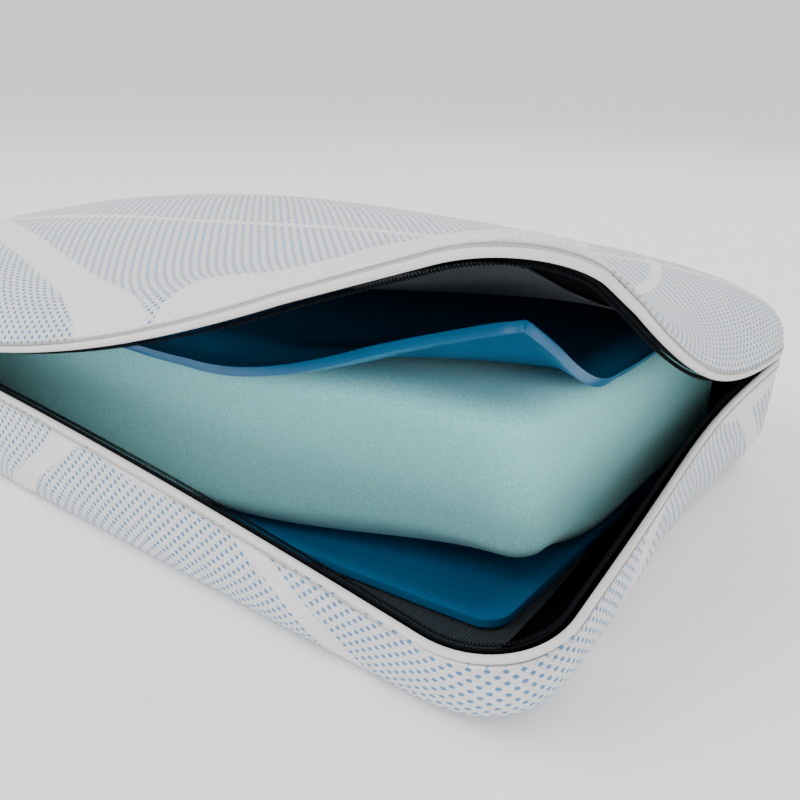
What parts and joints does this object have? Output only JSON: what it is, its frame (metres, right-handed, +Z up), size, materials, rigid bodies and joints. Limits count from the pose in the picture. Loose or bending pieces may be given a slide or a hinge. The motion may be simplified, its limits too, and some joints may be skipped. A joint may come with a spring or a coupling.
{
  "type": "memory foam pillow",
  "caption": "Crowned foam pillow between two gel pads in a dotted knit cover whose zip is open and whose corner is folded back like a lid.",
  "frame": {"origin": "centre of the base, on the flat that rests on the bed", "axes": "+X along the long side towards the open corner, -Y the front side with the open corner, +Z up"},
  "size_m": [0.6463, 0.4287, 0.2222],
  "materials": {
    "knit": "matt white jersey knit with a blue dot",
    "piping": "matt off-white woven piping",
    "lining": "matt black",
    "spacer_mesh": "dark grey ribbed mesh",
    "gel": "glossy translucent blue",
    "foam": "matt pale teal open-cell foam",
    "zip_nylon": "black nylon",
    "zip_metal": "dark metal",
    "label": "blank white ribbon"
  },
  "bodies": {
    "pillow": {"care_label": "label", "cover_base": "knit", "cover_upper": "knit", "cover_upper_bend": "knit", "foam_core": "foam", "gel_pad_base": "gel", "gel_pad_upper": "gel", "gel_pad_upper_bend": "gel", "lining_base": "lining", "lining_upper": "lining", "lining_upper_bend": "lining", "mesh_panel_base": "spacer_mesh", "mesh_panel_upper": "spacer_mesh", "mesh_panel_upper_bend": "spacer_mesh", "piping_base": "piping", "piping_upper_back": "piping", "piping_upper_front": "piping", "piping_upper_right": "piping", "zip_coil_base": "zip_nylon", "zip_coil_upper_back": "zip_nylon", "zip_coil_upper_front": "zip_nylon", "zip_coil_upper_left": "zip_nylon", "zip_coil_upper_right": "zip_nylon", "zip_tape_base": "zip_nylon", "zip_tape_upper_back": "zip_nylon", "zip_tape_upper_front": "zip_nylon", "zip_tape_upper_left": "zip_nylon", "zip_tape_upper_right": "zip_nylon"},
    "lid": {"cover_upper_lid": "knit", "lining_upper_lid": "lining", "mesh_panel_upper_lid": "spacer_mesh", "piping_upper_lid": "piping", "zip_coil_upper_lid": "zip_nylon", "zip_tape_upper_lid": "zip_nylon"},
    "gel_corner": {"gel_pad_upper_lid": "gel"},
    "slider": {"zip_slider": "zip_metal"},
    "pull": {"zip_pull": "zip_metal"}
  },
  "joints": [
    {"name": "lid_fold", "type": "hinge", "parent": "pillow", "child": "lid", "pos_m": [0.07537, -0.11798, 0.14992], "axis": [-0.8427, -0.5383, 0], "range_deg": [-20, 25], "deforming": ["cover_upper_bend", "lining_upper_bend", "mesh_panel_upper_bend", "piping_upper_front", "piping_upper_right", "zip_coil_upper_front", "zip_coil_upper_right", "zip_tape_upper_front", "zip_tape_upper_right"]},
    {"name": "gel_peel", "type": "hinge", "parent": "pillow", "child": "gel_corner", "pos_m": [0.11628, -0.18203, 0.1491], "axis": [-0.8427, -0.5383, 0], "range_deg": [-32, 40], "deforming": ["gel_pad_upper_bend"]},
    {"name": "zip_slide", "type": "slide", "parent": "pillow", "child": "slider", "axis": [-1, 0, 0], "range_m": [0, 0.025]},
    {"name": "pull_swing", "type": "hinge", "parent": "slider", "child": "pull", "pos_m": [-0.22999, -0.2066, 0.086], "axis": [-1, 0, 0], "range_deg": [0, 160]}
  ],
  "couplings": [
    {"joint": "gel_peel", "follows": "lid_fold", "ratio": 1.6}
  ]
}
